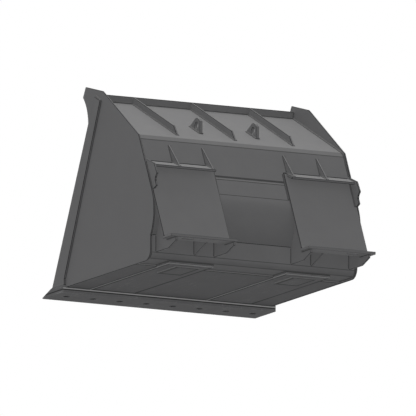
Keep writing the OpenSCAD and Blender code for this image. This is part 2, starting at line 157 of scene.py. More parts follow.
tree.links.new(drawn.outputs[0], pick.inputs["Fac"])
tree.links.new(clear.outputs["BSDF"], pick.inputs[1])
tree.links.new(pale.outputs["BSDF"], pick.inputs[2])
tree.links.new(pick.outputs["Shader"], out.inputs["Surface"])

floor_mesh = bpy.data.meshes.new("studio_floor")
corners = [(x * FLOOR_REACH, y * FLOOR_REACH, FLOOR_Z)
           for x, y in ((-1, -1), (1, -1), (1, 1), (-1, 1))]
floor_mesh.from_pydata(corners, [], [(0, 1, 2, 3)])
floor_mesh.materials.append(floor_mat)
studio_floor = bpy.data.objects.new("studio_floor", floor_mesh)
bpy.context.scene.collection.objects.link(studio_floor)
print("floor laid at z =", FLOOR_Z)

# %% [markdown]
# ## Shared paint effects
# A sprayed and handled steel surface is never one flat colour. Four effects work everywhere:
# cloudy tone, the fine skin of sprayed paint, dust that settles on what faces up, and
# scratches. Each is one node group with its own inputs, so every finish below can use it in
# its own strength. A few small helpers come first, so that each group stays short.

# %% Helpers for shader nodes: an empty group, and feeding an input
FLOAT, COLOUR = "NodeSocketFloat", "NodeSocketColor"


def new_group(name, inputs, outputs):
    """An empty shader node group with named sockets; returns the group, its way in and out."""
    group = bpy.data.node_groups.new(name, "ShaderNodeTree")
    for label, kind, value in inputs:
        socket = group.interface.new_socket(label, in_out="INPUT", socket_type=kind)
        socket.default_value = value
    for label, kind in outputs:
        group.interface.new_socket(label, in_out="OUTPUT", socket_type=kind)
    way_in = group.nodes.new("NodeGroupInput")
    way_out = group.nodes.new("NodeGroupOutput")
    return group, way_in, way_out


def plug(tree, value, socket):
    """Feeds an input: links a socket to it, or writes a plain number into it."""
    if hasattr(value, "is_output"):
        tree.links.new(value, socket)
    else:
        socket.default_value = value


# %% Helpers for values: arithmetic, noise and a rise from 0 to 1
def math_node(tree, kind, first, second=None):
    """One Math node; each input is a socket to link or a plain number."""
    node = tree.nodes.new("ShaderNodeMath")
    node.operation = kind
    plug(tree, first, node.inputs[0])
    if second is not None:
        plug(tree, second, node.inputs[1])
    return node.outputs[0]


def noise_node(tree, where, scale, detail, rough):
    """Noise at a scale in cells per metre; the value lies around one half."""
    node = tree.nodes.new("ShaderNodeTexNoise")
    node.inputs["Detail"].default_value = detail
    node.inputs["Roughness"].default_value = rough
    tree.links.new(where, node.inputs["Vector"])
    plug(tree, scale, node.inputs["Scale"])
    return node.outputs["Fac"]


def ramp(tree, value, low, high, smooth=False):
    """Rises from 0 where the value is low to 1 where it is high, softly if it is smooth."""
    node = tree.nodes.new("ShaderNodeMapRange")
    if smooth:
        node.interpolation_type = "SMOOTHSTEP"
    plug(tree, low, node.inputs["From Min"])
    plug(tree, high, node.inputs["From Max"])
    tree.links.new(value, node.inputs["Value"])
    return node.outputs["Result"]


# %% Helpers for places and for the mask that an effect gives
def split_axes(tree, vector):
    """The X, Y and Z of a vector, as the outputs of one node."""
    node = tree.nodes.new("ShaderNodeSeparateXYZ")
    tree.links.new(vector, node.inputs[0])
    return node.outputs


def own_coordinates(tree, kind="Object"):
    """The point on the object in metres, or with Normal the way its surface faces."""
    return tree.nodes.new("ShaderNodeTexCoord").outputs[kind]


def send_mask(tree, mask, way_in, way_out):
    """A mask leaves its group multiplied by the group's Amount."""
    amount = math_node(tree, "MULTIPLY", mask, way_in.outputs["Amount"])
    tree.links.new(amount, way_out.inputs["Mask"])


# %% Cloudy tone: the colour times 1 + 2 * Amount * (cloud - 1/2)
FINE_CELLS, BROAD_SHARE = 90.0, 0.75
cloudy_tone, way_in, way_out = new_group(
    "cloudy_tone",
    [("Colour", COLOUR, (0.1, 0.1, 0.1, 1.0)), ("Clouds", FLOAT, 6.0), ("Amount", FLOAT, 0.1)],
    [("Colour", COLOUR), ("Cloud", FLOAT)])
tree = cloudy_tone
place = own_coordinates(tree)
broad = noise_node(tree, place, way_in.outputs["Clouds"], 3.0, 0.55)
fine = noise_node(tree, place, FINE_CELLS, 2.0, 0.6)
both = math_node(tree, "ADD", math_node(tree, "MULTIPLY", broad, BROAD_SHARE),
                 math_node(tree, "MULTIPLY", fine, 1.0 - BROAD_SHARE))
off_middle = math_node(tree, "SUBTRACT", both, 0.5)
swing = math_node(tree, "MULTIPLY", off_middle, way_in.outputs["Amount"])
gain = math_node(tree, "ADD", math_node(tree, "MULTIPLY", swing, 2.0), 1.0)
tint = tree.nodes.new("ShaderNodeVectorMath")
tint.operation = "SCALE"
tree.links.new(way_in.outputs["Colour"], tint.inputs[0])
tree.links.new(gain, tint.inputs["Scale"])
tree.links.new(tint.outputs[0], way_out.inputs["Colour"])
tree.links.new(both, way_out.inputs["Cloud"])
print("cloudy tone:", len(tree.nodes), "nodes")

# %% Sprayed skin: the fine dimples of dried spray paint, with a few specks in it
SPECK_CELLS, SPECK_RADIUS = 160.0, 0.09
sprayed_skin, way_in, way_out = new_group(
    "sprayed_skin",
    [("Dimples", FLOAT, 420.0), ("Specks", FLOAT, 0.3)], [("Height", FLOAT)])
tree = sprayed_skin
place = own_coordinates(tree)
peel = noise_node(tree, place, way_in.outputs["Dimples"], 1.0, 0.4)
dots = tree.nodes.new("ShaderNodeTexVoronoi")
dots.inputs["Scale"].default_value = SPECK_CELLS
tree.links.new(place, dots.inputs["Vector"])
speck = math_node(tree, "LESS_THAN", dots.outputs["Distance"], SPECK_RADIUS)
grit = math_node(tree, "MULTIPLY", speck, way_in.outputs["Specks"])
height = math_node(tree, "ADD", peel, grit)
tree.links.new(height, way_out.inputs["Height"])
print("sprayed skin:", len(tree.nodes), "nodes")

# %% Settled dust: a mask that is strongest on faces that look up, broken by noise
settled_dust, way_in, way_out = new_group(
    "settled_dust", [("Amount", FLOAT, 0.3), ("Patches", FLOAT, 9.0)], [("Mask", FLOAT)])
tree = settled_dust
facing = split_axes(tree, tree.nodes.new("ShaderNodeNewGeometry").outputs["Normal"])
up = ramp(tree, facing["Z"], 0.25, 0.95, smooth=True)
cover = noise_node(tree, own_coordinates(tree), way_in.outputs["Patches"], 4.0, 0.62)
patch = ramp(tree, cover, 0.35, 0.7)
mask = math_node(tree, "MULTIPLY", up,
                 math_node(tree, "ADD", math_node(tree, "MULTIPLY", patch, 0.7), 0.3))
send_mask(tree, mask, way_in, way_out)
print("settled dust:", len(tree.nodes), "nodes")

# %% Drag scratches: thin streaks along the digging direction, in patches
STREAK_STRETCH, STREAK_TURN = (1.0, 0.035, 0.25), (0.0, 0.0, 0.06)
drag_scratches, way_in, way_out = new_group(
    "drag_scratches", [("Amount", FLOAT, 0.5), ("Width", FLOAT, 260.0)], [("Mask", FLOAT)])
tree = drag_scratches
place = own_coordinates(tree)
stretch = tree.nodes.new("ShaderNodeMapping")
stretch.inputs["Scale"].default_value = STREAK_STRETCH
stretch.inputs["Rotation"].default_value = STREAK_TURN
tree.links.new(place, stretch.inputs["Vector"])
lines = noise_node(tree, stretch.outputs["Vector"], way_in.outputs["Width"], 2.0, 0.7)
cut = ramp(tree, lines, 0.58, 0.68)
where = ramp(tree, noise_node(tree, place, 7.0, 3.0, 0.6), 0.42, 0.62)
send_mask(tree, math_node(tree, "MULTIPLY", cut, where), way_in, way_out)
print("drag scratches:", len(tree.nodes), "nodes")

# %% [markdown]
# ### Marks, painted shade and painted light that belong to one place
# A press brake or a plate roll leaves a thin dark mark across the sheet where a bend begins.
# Paint burns beside a weld and dirt packs into a seam. Painted shade darkens the bolt holes and
# the pressed land, and painted light lightens the rear face of the edge and the upright flanks.
# Each mark is worked out from Object coordinates: as the distance to a plane, to the nearest hole
# of a row, or as the way the surface faces.

# %% Helpers for marks: share of a direction, and a soft line beside a plane
Y_WAY, Z_WAY = (0.0, 1.0, 0.0), (0.0, 0.0, 1.0)


def facing_share(tree, vector, fixed):
    """Dot product of a vector with a fixed direction."""
    node = tree.nodes.new("ShaderNodeVectorMath")
    node.operation = "DOT_PRODUCT"
    node.inputs[1].default_value = fixed
    tree.links.new(vector, node.inputs[0])
    return node.outputs["Value"]


def line_mask(tree, place, normal, offset, half_width):
    """Soft line where the distance to a plane, place . normal - offset, is under half_width;
    the mask is 1 in the middle three tenths."""
    off = math_node(tree, "SUBTRACT", facing_share(tree, place, normal), offset)
    gap = math_node(tree, "ABSOLUTE", off)
    return ramp(tree, gap, half_width, half_width * 0.3, smooth=True)


# %% Press marks: dark lines over the rolled belly, along the lap and where the top bend begins
LEAN = math.radians(25.0)  # how far the back leans from upright
# Where a mark crosses the middle plane, as its y and z, and half its width, all in metres
BELLY_MARK, LAP_MARK = ((0.4635, 0.3947), 0.0026), ((0.4155, 0.4977), 0.0040)
BEND_MARK = ((0.3351, 0.6701), 0.0042)
press_marks, way_in, way_out = new_group(
    "press_marks", [("Amount", FLOAT, 0.5)], [("Mask", FLOAT)])
tree = press_marks
place = own_coordinates(tree)
up_the_back = (0.0, -math.sin(LEAN), math.cos(LEAN))
marks = None
for spot, half_width in (BELLY_MARK, LAP_MARK, BEND_MARK):
    offset = up_the_back[1] * spot[0] + up_the_back[2] * spot[1]
    one = line_mask(tree, place, up_the_back, offset, half_width)
    marks = one if marks is None else math_node(tree, "MAXIMUM", marks, one)
send_mask(tree, marks, way_in, way_out)
print("press marks:", len(tree.nodes), "nodes")

# %% Press marks of the heel, where its round corner begins and ends
ROUND_ENDS_Z, ROUND_ENDS_Y = 0.066, 0.4305
heel_marks, way_in, way_out = new_group(
    "heel_marks", [("Amount", FLOAT, 0.5)], [("Mask", FLOAT)])
tree = heel_marks
place = own_coordinates(tree)
upper = line_mask(tree, place, Z_WAY, ROUND_ENDS_Z, 0.0028)
lower = line_mask(tree, place, Y_WAY, ROUND_ENDS_Y, 0.0110)
send_mask(tree, math_node(tree, "MAXIMUM", upper, lower), way_in, way_out)
print("heel marks:", len(tree.nodes), "nodes")

# %% Painted shade on the pressed land: the flat strip between two creases is darkened by the way it faces
LAND_FACES = (0.0, 0.713, 0.701)
land_painted_shade, way_in, way_out = new_group(
    "land_painted_shade", [("Amount", FLOAT, 0.2)], [("Mask", FLOAT)])
tree = land_painted_shade
square_on = facing_share(tree, own_coordinates(tree, "Normal"), LAND_FACES)
send_mask(tree, ramp(tree, square_on, 0.97, 0.99), way_in, way_out)
print("pressed land:", len(tree.nodes), "nodes")

# %% Painted shade in the bolt holes and on their rims: distance to the nearest hole centre, full inside 15 mm
HOLE_PITCH, HOLE_ROW_Y = 0.1524, -0.5619
hole_painted_shade, way_in, way_out = new_group(
    "hole_painted_shade", [("Amount", FLOAT, 0.8), ("Radius", FLOAT, 0.020)], [("Mask", FLOAT)])
tree = hole_painted_shade
spot = split_axes(tree, own_coordinates(tree))
turns = math_node(tree, "ADD", math_node(tree, "DIVIDE", spot["X"], HOLE_PITCH), 8.0)
off_centre = math_node(tree, "SUBTRACT", math_node(tree, "FRACT", turns), 0.5)
dx = math_node(tree, "MULTIPLY", off_centre, HOLE_PITCH)
dy = math_node(tree, "SUBTRACT", spot["Y"], HOLE_ROW_Y)
squares = math_node(tree, "ADD", math_node(tree, "MULTIPLY", dx, dx),
                    math_node(tree, "MULTIPLY", dy, dy))
gap = math_node(tree, "SQRT", squares)
ring = ramp(tree, gap, way_in.outputs["Radius"], 0.015, smooth=True)
send_mask(tree, ring, way_in, way_out)
print("hole rings:", len(tree.nodes), "nodes")

# %% Painted highlight: a light strip on the upper half of the rear face of the edge
EDGE_REAR_Y, STRIP_Z = -0.4536, 0.0215
rear_face_highlight, way_in, way_out = new_group(
    "rear_face_painted_highlight", [("Amount", FLOAT, 0.9)], [("Mask", FLOAT)])
tree = rear_face_highlight
place = own_coordinates(tree)
face = line_mask(tree, place, Y_WAY, EDGE_REAR_Y, 0.0026)
upper_half = line_mask(tree, place, Z_WAY, STRIP_Z, 0.0050)
send_mask(tree, math_node(tree, "MULTIPLY", face, upper_half), way_in, way_out)
print("rubbed strip:", len(tree.nodes), "nodes")

# %% Painted light on flanks: the narrow upright faces of the floor and the parts under it are lightened where the surface faces sideways
flank_painted_light, way_in, way_out = new_group(
    "flank_painted_light", [("Amount", FLOAT, 0.6)], [("Mask", FLOAT)])
tree = flank_painted_light
level = math_node(tree, "ABSOLUTE", split_axes(tree, own_coordinates(tree, "Normal"))["Z"])
send_mask(tree, ramp(tree, level, 0.75, 0.35, smooth=True), way_in, way_out)
print("rubbed flanks:", len(tree.nodes), "nodes")

# %% Burnt paint: dark bands just inside the edges of the wear parts, where the welds ran hot
BAND_INSIDE, BAND_HALF = 0.007, 0.010
FRONT_BAND_INSIDE, FRONT_BAND_HALF = 0.012, 0.016


def burnt_bands(name, long_edges, front_edge):
    """Bands inside two long edges, mirrored to the other side, and inside a front edge. Each
    long edge is its x and the way inward from it; the front edge is its y."""
    group, way_in, way_out = new_group(name, [("Amount", FLOAT, 0.5)], [("Mask", FLOAT)])
    place = own_coordinates(group)
    bands = line_mask(group, place, Y_WAY, front_edge + FRONT_BAND_INSIDE, FRONT_BAND_HALF)
    for edge, inward in long_edges:
        for way in (1.0, -1.0):
            band = line_mask(group, place, (way, 0.0, 0.0), edge + BAND_INSIDE * inward,
                             BAND_HALF)
            bands = math_node(group, "MAXIMUM", bands, band)
    send_mask(group, bands, way_in, way_out)
    return group


WEAR_PLATE_EDGES, WEAR_PLATE_FRONT = ((0.462, -1), (0.206, 1)), -0.4409
HEEL_PAD_EDGES, HEEL_PAD_FRONT = ((0.4005, -1), (0.2675, 1)), 0.1741
burnt_wear = burnt_bands("burnt_wear_plate_edges", WEAR_PLATE_EDGES, WEAR_PLATE_FRONT)
burnt_pads = burnt_bands("burnt_heel_pad_edges", HEEL_PAD_EDGES, HEEL_PAD_FRONT)
print("burnt bands:", len(burnt_wear.nodes) + len(burnt_pads.nodes), "nodes")

# %% Dirt in the seam between the two layers of the edge
SEAM_Z = 0.0155
seam_dirt, way_in, way_out = new_group(
    "seam_dirt", [("Amount", FLOAT, 0.9)], [("Mask", FLOAT)])
tree = seam_dirt
send_mask(tree, line_mask(tree, own_coordinates(tree), Z_WAY, SEAM_Z, 0.0042), way_in, way_out)
print("effects:", [g.name for g in bpy.data.node_groups])

# %% [markdown]
# ## Finishes
# The real bucket is one matte charcoal paint over everything. Plate faces, broken edges, weld
# beads and the wear parts still differ: paint is thin and dirty on an edge, a bead is lumpy
# and catches dust, and the parts that slide over the ground are scuffed. So each gets its
# own material, all mixed from the same effects.

# %% Two layers that lie over the paint, and how a material takes them up
DUST_GREY, BARE_STEEL = (0.24, 0.235, 0.225, 1.0), (0.30, 0.30, 0.31, 1.0)


def use_effect(tree, effect, **settings):
    """Places a shared effect in a material and sets its inputs."""
    node = tree.nodes.new("ShaderNodeGroup")
    node.node_tree = effect
    for label, value in settings.items():
        node.inputs[label].default_value = value
    return node.outputs


def lay_over(tree, under, mask, colour):
    """The colour under the mask's zeros stays; where the mask is 1 the fixed colour shows."""
    mix = tree.nodes.new("ShaderNodeMix")
    mix.data_type = "RGBA"
    mix.inputs["B"].default_value = colour
    tree.links.new(mask, mix.inputs["Factor"])
    tree.links.new(under, mix.inputs["A"])
    return mix.outputs["Result"]


# %% One recipe for painted steel
CLOUD_CELLS, GLOSS_SWING = 5.5, 0.16  # clouds per metre, and how far they change the gloss
METAL_SHINE, METAL_POLISH = 0.55, 0.12  # how metallic and how much smoother a scratch is
DUST_DULLS, DIMPLE_DEPTH = 0.3, 0.0006  # roughness that dust adds, and the dimples in metres


def painted(name, colour, cloud, rough, dust, skin, scratch=0.0, marks_and_painted_light=(), sheen=0.12):
    """Paint: cloudy colour, dust over it, scratches through it, dimples in the normal. Stains,
    painted shade and painted light come last; each is an effect for one place, how much of it,
    and the grey it turns to."""
    made = bpy.data.materials.new(name)
    made.use_nodes = True
    tree = made.node_tree
    paint = tree.nodes["Principled BSDF"]
    tone = use_effect(tree, cloudy_tone, Colour=(*colour, 1.0), Clouds=CLOUD_CELLS, Amount=cloud)
    film = use_effect(tree, settled_dust, Amount=dust)["Mask"]
    last = lay_over(tree, tone["Colour"], film, DUST_GREY)
    gloss = math_node(tree, "ADD", math_node(tree, "MULTIPLY", tone["Cloud"], GLOSS_SWING),
                      rough - GLOSS_SWING / 2)
    if scratch:
        marks = use_effect(tree, drag_scratches, Amount=scratch)["Mask"]
        last = lay_over(tree, last, marks, BARE_STEEL)
        tree.links.new(math_node(tree, "MULTIPLY", marks, METAL_SHINE), paint.inputs["Metallic"])
        polish = math_node(tree, "MULTIPLY", marks, METAL_POLISH)
        gloss = math_node(tree, "SUBTRACT", gloss, polish)
    for effect, amount, grey in marks_and_painted_light:
        overlay_mask = use_effect(tree, effect, Amount=amount)["Mask"]
        last = lay_over(tree, last, overlay_mask, (grey, grey, grey, 1.0))
    tree.links.new(last, paint.inputs["Base Color"])
    dull = math_node(tree, "ADD", gloss, math_node(tree, "MULTIPLY", film, DUST_DULLS))
    tree.links.new(dull, paint.inputs["Roughness"])
    bump = tree.nodes.new("ShaderNodeBump")
    bump.inputs["Strength"].default_value = skin
    bump.inputs["Distance"].default_value = DIMPLE_DEPTH
    tree.links.new(use_effect(tree, sprayed_skin)["Height"], bump.inputs["Height"])
    tree.links.new(bump.outputs["Normal"], paint.inputs["Normal"])
    paint.inputs["Specular IOR Level"].default_value = sheen
    return made


# %% The finishes of this bucket
# the last grey is painted light, for the upright flanks of the floor and the parts under it
MARK_AND_SHADE_GREY, SOOT, GRIME, FLANK_LIGHT_GREY = 0.018, 0.02, 0.014, 0.24
plate_paint = painted("charcoal_plate_paint", (0.130, 0.130, 0.132),
                      cloud=0.10, rough=0.66, dust=0.16, skin=0.22)
edge_paint = painted("thin_paint_on_edges", (0.017, 0.017, 0.018),
                     cloud=0.22, rough=0.66, dust=0.06, skin=0.25)
bead_paint = painted("paint_over_weld", (0.055, 0.055, 0.056),
                     cloud=0.20, rough=0.64, dust=0.20, skin=0.30)
sheet_paint = painted("paint_on_rolled_sheet", (0.130, 0.130, 0.132),
                      cloud=0.12, rough=0.66, dust=0.16, skin=0.22, sheen=0.09,
                      # the press marks are real marks; the darkening of the land is painted
                      # shade, set by the way it faces
                      marks_and_painted_light=((press_marks, 0.75, MARK_AND_SHADE_GREY), (land_painted_shade, 0.17, MARK_AND_SHADE_GREY)))
# painted light: the heel's copy of the charcoal paint is lighter than the plates' paint, to make
# up for the weak light on its rearward faces
heel_paint_lightened = painted("paint_on_the_heel_lightened", (0.143, 0.143, 0.145),
                     cloud=0.14, rough=0.72, dust=0.16, skin=0.22, sheen=0.03,
                     marks_and_painted_light=((heel_marks, 0.55, MARK_AND_SHADE_GREY),))
inner_paint = painted("paint_on_the_floor", (0.102, 0.102, 0.104),
                      cloud=0.14, rough=0.72, dust=0.34, skin=0.22, scratch=0.25, sheen=0.04,
                      marks_and_painted_light=((flank_painted_light, 0.35, FLANK_LIGHT_GREY),))
wear_paint = painted("scuffed_wear_paint", (0.104, 0.104, 0.106),
                     cloud=0.18, rough=0.72, dust=0.20, skin=0.25, scratch=0.40, sheen=0.04,
                     marks_and_painted_light=((burnt_wear, 0.85, SOOT), (flank_painted_light, 0.75, FLANK_LIGHT_GREY)))
pad_paint = painted("scuffed_pad_paint", (0.104, 0.104, 0.106),
                    cloud=0.18, rough=0.72, dust=0.20, skin=0.25, scratch=0.40, sheen=0.04,
                    marks_and_painted_light=((burnt_pads, 0.85, SOOT), (flank_painted_light, 0.75, FLANK_LIGHT_GREY)))
digging_paint = painted("scuffed_paint_on_the_edge", (0.118, 0.118, 0.120),
                        cloud=0.18, rough=0.72, dust=0.20, skin=0.25, scratch=0.50, sheen=0.04,
                        # the light grey on the rear face is a painted highlight
                        marks_and_painted_light=((rear_face_highlight, 0.9, 0.34), (seam_dirt, 0.9, GRIME),
                                # the near-black grey in and round the bolt holes is painted shade
                                (hole_painted_shade, 0.94, 0.012)))
wear_edge = painted("rubbed_wear_edges", (0.210, 0.210, 0.214),
                    cloud=0.25, rough=0.55, dust=0.10, skin=0.20, scratch=0.60,
                    marks_and_painted_light=((seam_dirt, 0.9, GRIME),))
print("finishes:", sorted(m.name for m in bpy.data.materials if m.use_nodes))

# %% [markdown]
# ## Broken edges on the plates
# Sawn and flame-cut plates have their edges broken with a grinder, and paint is thin there,
# which draws a fine dark line round each plate. A Bevel modifier gives each edge a real small
# radius, with the thin paint on it. The CAD meshes are loose triangles, so a Weld and a planar
# Decimate come first and make whole faces of them; the CAD mesh itself isn't touched.

# %% A modifier that marks every face smooth, so that rolled sheet shades as one curve
smooth_all = bpy.data.node_groups.new("mark_faces_smooth", "GeometryNodeTree")
smooth_all.interface.new_socket("Geometry", in_out="INPUT", socket_type="NodeSocketGeometry")
smooth_all.interface.new_socket("Geometry", in_out="OUTPUT", socket_type="NodeSocketGeometry")
shell_in = smooth_all.nodes.new("NodeGroupInput")
shell_out = smooth_all.nodes.new("NodeGroupOutput")
set_smooth = smooth_all.nodes.new("GeometryNodeSetShadeSmooth")
smooth_all.links.new(shell_in.outputs["Geometry"], set_smooth.inputs["Geometry"])
smooth_all.links.new(set_smooth.outputs["Geometry"], shell_out.inputs["Geometry"])
print("modifier:", smooth_all.name)

# %% One way to finish a plate
WELD_GAP, FLAT_WITHIN, SHARP_FROM = 0.00002, math.radians(0.4), math.radians(18.0)


def break_edges(plate, face_finish, edge_finish, width):
    """Merges loose triangles into whole faces and rounds every edge sharper than 18 degrees."""
    plate.data.materials.clear()
    plate.data.materials.append(face_finish)
    plate.data.materials.append(edge_finish)
    merge = plate.modifiers.new("merge", "WELD")
    merge.merge_threshold = WELD_GAP
    whole = plate.modifiers.new("whole_faces", "DECIMATE")
    whole.decimate_type = "DISSOLVE"
    whole.angle_limit = FLAT_WITHIN
    soft = plate.modifiers.new("mark_smooth", "NODES")
    soft.node_group = smooth_all
    edge = plate.modifiers.new("broken_edges", "BEVEL")
    edge.width = width
    edge.segments = 2
    edge.limit_method = "ANGLE"
    edge.angle_limit = SHARP_FROM
    edge.miter_outer = "MITER_ARC"
    edge.material = 1
    even = plate.modifiers.new("even_shading", "WEIGHTED_NORMAL")
    even.mode = "FACE_AREA"
    even.weight = 100


# %% What each plate gets
# Part of the name, face finish, edge finish and width in metres; the first that fits is used.
EDGE_WORK = (
    ("cutting_edge", digging_paint, wear_edge, 0.0030),
    ("base_edge", digging_paint, edge_paint, 0.0014),
    ("wear_plate", wear_paint, wear_edge, 0.0014),
    ("heel_pad", pad_paint, wear_edge, 0.0024),
    ("floor_sheet", inner_paint, edge_paint, 0.0017),
    ("hook_gusset", plate_paint, edge_paint, 0.0018),
    ("pin_gusset", plate_paint, edge_paint, 0.0018),
    ("heel_plate", heel_paint_lightened, edge_paint, 0.0016),
    ("sheet", sheet_paint, edge_paint, 0.0020),
    ("", plate_paint, edge_paint, 0.0028))
for name, plate in sorted(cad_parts.items()):
    work = next(row for row in EDGE_WORK if row[0] in name)
    break_edges(plate, *work[1:])
print("plates finished:", len(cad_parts))

# %% [markdown]
# ## Weld beads
# Every plate here is held by fillet welds. Seen close, a bead is a row of overlapping crescents
# with fatter spots where the welder stopped and started. A tube along a path looks like glue;
# so each bead is a surface of two parameters, the way along the joint and the angle across
# the corner, and the crescents are a ripple that lags behind in the middle of the bead.

# %% Sizes of the drawing, in millimetres as [f, z], as the CAD source draws it
RISE = math.radians(26.0)  # how far the top sheet rises from level
HALF, SIDE_T = 594.0, 8.0  # half the width over the side plates, and their thickness
MID_F, STAND = 467.0968, 25.0  # where the model's origin lies in the drawing
BELLY, BELLY_R = np.array([214.292, 253.760]), 240.0
SHEET_T, COUPLER_T, RIB_T, EYE_T = 6.0, 10.0, 10.0, 16.0
BEND_R, HEEL_R, HEEL_T, HEEL_REAR = 55.0, 28.0, 8.0, 8.57
FLOOR_TOP, FLOOR_LOW, FLOOR_REAR, WEAR_LOW = 13.0, 3.0, 182.0, -3.0
CORNER_H, HOOK_H, SEAM_H, SLOPE_LEN = 662.0, 520.0, 470.0, 608.0
UP_BACK = np.array([math.sin(LEAN), math.cos(LEAN)])
OUT_BACK = np.array([-math.cos(LEAN), math.sin(LEAN)])
UP_SLOPE = np.array([math.cos(RISE), math.sin(RISE)])
OUT_SLOPE = np.array([-math.sin(RISE), math.cos(RISE)])
SHEET_TOP = BELLY + BELLY_R * OUT_BACK


# %% Places on the drawing
def on_sheet(z):
    """Point of the back sheet's outer face at a height, on its straight line."""
    return SHEET_TOP + (z - SHEET_TOP[1]) / math.cos(LEAN) * UP_BACK


def on_coupler(z):
    """Point of the coupler plate's outer face at a height, one plate behind the sheet."""
    return on_sheet(z) - np.array([COUPLER_T / math.cos(LEAN), 0.0])


def on_slope(run, above=0.0):
    """Point at a run along the top sheet from the back corner, and so far above it."""
    return CORNER + run * UP_SLOPE + above * OUT_SLOPE


# %% From the drawing to the model
def lift(x, fz):
    """Millimetres to metres: x across, f forward becomes minus y, z is raised to stand on 0."""
    fz = np.atleast_2d(fz)
    x = np.broadcast_to(np.asarray(x, float), fz.shape[:1])
    return np.stack([x, MID_F - fz[:, 0], fz[:, 1] + STAND], 1) / 1000.0


def across(x0, x1, fz):
    """A straight joint line across the bucket at one [f, z] place."""
    return lift(np.array([x0, x1]), np.array([fz, fz]))


def heading(fz):
    """A direction drawn as [f, z], turned into the model's own axes."""
    fz = np.atleast_2d(fz)
    return np.stack([np.zeros(len(fz)), -fz[:, 0], fz[:, 1]], 1)


# %% Ways along the plates, and the places that many joints start from
ACROSS = np.array([[1.0, 0.0, 0.0]])
UP, DOWN = heading([0.0, 1.0]), heading([0.0, -1.0])
FORWARD, REARWARD = heading([1.0, 0.0]), heading([-1.0, 0.0])
CORNER = on_sheet(CORNER_H)
HOOK_ROOT = on_coupler(HOOK_H)
LIP_LEAN = math.radians(16.0)
LIP_UP = np.array([-math.sin(LIP_LEAN), math.cos(LIP_LEAN)])
LIP_OUT = np.array([math.cos(LIP_LEAN), math.sin(LIP_LEAN)])
LIP_FOOT = on_slope(SLOPE_LEN)
BEND_RUN = BEND_R * math.tan((math.pi / 2 - LEAN - RISE) / 2)
print("back corner at", CORNER.round(1), "hook root at", HOOK_ROOT.round(1))


# %% One way to make a closed piece
def closed_piece(name, points, faces, finish):
    """Mesh from whole arrays, normals turned outward, shaded smooth, riding with the bucket."""
    mesh = bpy.data.meshes.new(name)
    mesh.from_pydata(np.asarray(points).tolist(), [], faces)
    work = bmesh.new()
    work.from_mesh(mesh)
    bmesh.ops.recalc_face_normals(work, faces=work.faces)
    work.to_mesh(mesh)
    work.free()
    mesh.polygons.foreach_set("use_smooth", np.ones(len(mesh.polygons), bool))
    mesh.materials.append(finish)
    piece = bpy.data.objects.new(name, mesh)
    bpy.context.scene.collection.objects.link(piece)
    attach(piece, "root")
    return piece


# %% [markdown]
# ### The folded top sheet
# On the real bucket the bend between back and top sheet is pressed in two hits of the brake.
# That leaves a narrow flat land between two creases, which catches its own even tone of light,
# where one round bend would give a soft ramp. So this sheet is pushed out of its outline anew,
# with the land cutting the corner 3 mm inside the CAD bend, and takes the CAD sheet's place.

# %% Top sheet with a flat land at its bend
SHEET_HALF = HALF - SIDE_T
low_crease, high_crease = CORNER - BEND_RUN * UP_BACK, CORNER + BEND_RUN * UP_SLOPE
lap_edge = on_sheet(SEAM_H)
lip_thickness = 6.09  # the sheet's end is cut along the leaning lip bar
outline = np.array([
    lap_edge, low_crease, high_crease, LIP_FOOT, LIP_FOOT - lip_thickness * LIP_UP,
    high_crease - SHEET_T * OUT_SLOPE, low_crease - SHEET_T * OUT_BACK,
    lap_edge - SHEET_T * OUT_BACK])
count = len(outline)
ends = np.concatenate([lift(-SHEET_HALF, outline), lift(SHEET_HALF, outline)])
here = np.arange(count)
there = (here + 1) % count
skin = np.stack([here, there, there + count, here + count], 1).tolist()
skin += [here.tolist(), (here + count).tolist()]
top_sheet = closed_piece("folded_top_sheet", ends, skin, sheet_paint)
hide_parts("upper_back_sheet")
break_edges(top_sheet, sheet_paint, sheet_paint, 0.0008)
land_width = float(np.linalg.norm(high_crease - low_crease))
print("top sheet: land of", round(land_width, 1), "mm")


# %% Evenly spaced points along a line
def even_steps(points, first, second, step):
    """Walks the joint line: running length by cumulative sum, then straight interpolation of
    the points and of both surface directions at equal steps."""
    points = np.asarray(points, float)
    count = len(points)
    first = np.broadcast_to(first, (count, 3))
    second = np.broadcast_to(second, (count, 3))
    run = np.concatenate([[0.0], np.cumsum(np.linalg.norm(np.diff(points, axis=0), axis=1))])
    steps = np.linspace(0.0, run[-1], max(int(run[-1] / step), 6))
    walk = [np.stack([np.interp(steps, run, values[:, axis]) for axis in range(3)], 1)
            for values in (points, first, second)]
    for values in walk[1:]:
        values /= np.linalg.norm(values, axis=1, keepdims=True)
    return steps, walk


# %% The surface of one bead
STEP, ROOT_DEEP = 0.0016, 0.0004  # metres from ring to ring, and how deep the root lies
PITCH, LAG = 0.85, 0.55  # length of a crescent in legs, and the lag of its middle
BULGE, RIPPLE, WAVE = 0.16, 0.055, 0.03  # over the chord, and two shares of each crescent
SWELLS = ((0.05, 61.0, 2.3), (0.04, 23.0, 1.0))  # depth, radians per metre, shift per seed
LUMP, END_LONG, TIP = 0.16, 0.8, 0.03  # height of a restart, length and tip of an end
RESTART_EVERY, RESTART_AT, RESTART_LONG = 0.27, 0.13, 0.006  # lumps along the bead, in metres
RESTART_SHIFT = 0.07  # and how far each next bead's lumps are moved along it


